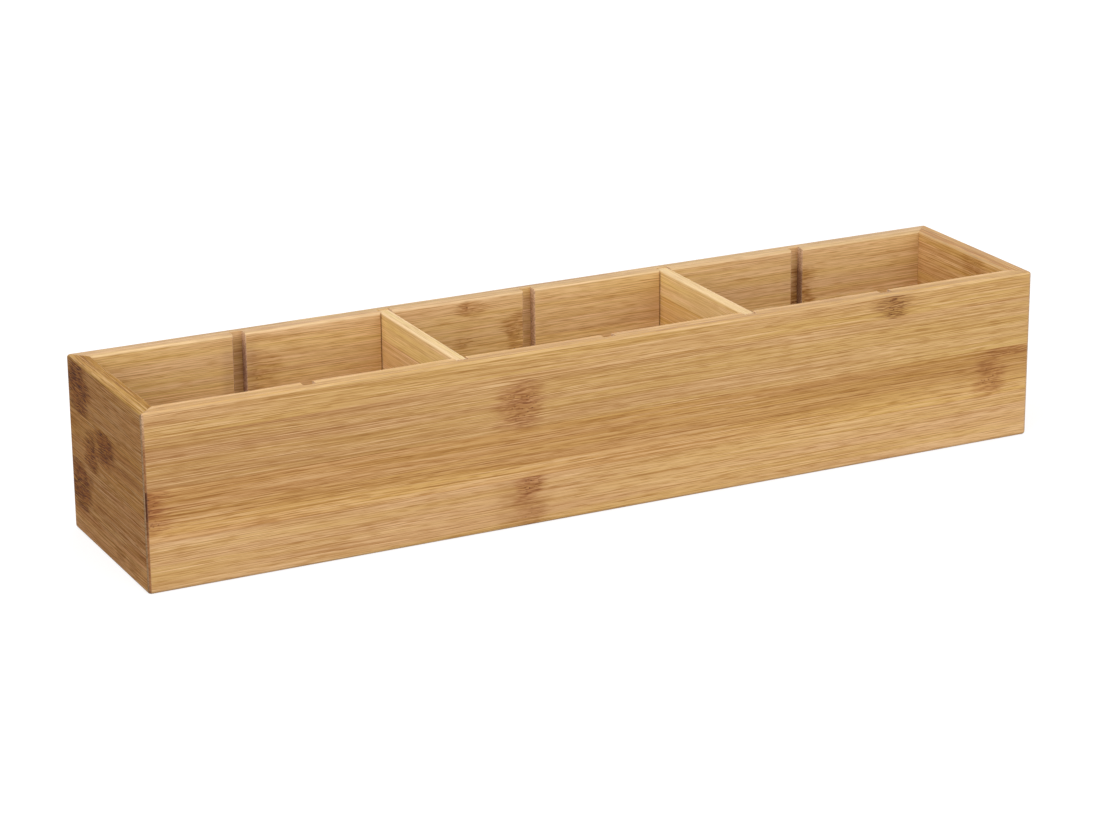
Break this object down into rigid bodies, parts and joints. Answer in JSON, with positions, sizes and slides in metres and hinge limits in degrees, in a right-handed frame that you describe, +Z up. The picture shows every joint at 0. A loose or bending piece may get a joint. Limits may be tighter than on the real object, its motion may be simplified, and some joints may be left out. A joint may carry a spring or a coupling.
{
  "type": "cutlery tray",
  "caption": "Long narrow bamboo cutlery tray with mitred walls, a bottom panel in a groove and dividers that lift out of upright slots.",
  "frame": {"origin": "on the table under the middle of the tray", "axes": "+X along the tray's length, -Y towards the front wall, +Z up"},
  "size_m": [0.38, 0.08, 0.069],
  "materials": {
    "bamboo_wall": "satin lacquer",
    "bamboo_panel": "satin lacquer",
    "bamboo_divider": "satin lacquer"
  },
  "bodies": {
    "tray": {"front_wall_strip_1": "bamboo_wall", "front_wall_strip_2": "bamboo_wall", "front_wall_strip_3": "bamboo_wall", "front_wall_strip_4": "bamboo_wall", "back_wall_strip_1": "bamboo_wall", "back_wall_strip_2": "bamboo_wall", "back_wall_strip_3": "bamboo_wall", "back_wall_strip_4": "bamboo_wall", "left_wall_strip_1": "bamboo_wall", "left_wall_strip_2": "bamboo_wall", "left_wall_strip_3": "bamboo_wall", "left_wall_strip_4": "bamboo_wall", "right_wall_strip_1": "bamboo_wall", "right_wall_strip_2": "bamboo_wall", "right_wall_strip_3": "bamboo_wall", "right_wall_strip_4": "bamboo_wall", "bottom_panel_strip_1": "bamboo_panel", "bottom_panel_strip_2": "bamboo_panel", "bottom_panel_strip_3": "bamboo_panel", "bottom_panel_strip_4": "bamboo_panel"},
    "divider_left": {"divider_left_strip_1": "bamboo_divider", "divider_left_strip_2": "bamboo_divider", "divider_left_strip_3": "bamboo_divider", "divider_left_strip_4": "bamboo_divider"},
    "divider_right": {"divider_right_strip_1": "bamboo_divider", "divider_right_strip_2": "bamboo_divider", "divider_right_strip_3": "bamboo_divider", "divider_right_strip_4": "bamboo_divider"}
  },
  "joints": [
    {"name": "divider_left_lift", "type": "slide", "parent": "tray", "child": "divider_left", "axis": [0, 0, 1], "range_m": [0, 0.07]},
    {"name": "divider_right_lift", "type": "slide", "parent": "tray", "child": "divider_right", "axis": [0, 0, 1], "range_m": [0, 0.07]}
  ]
}
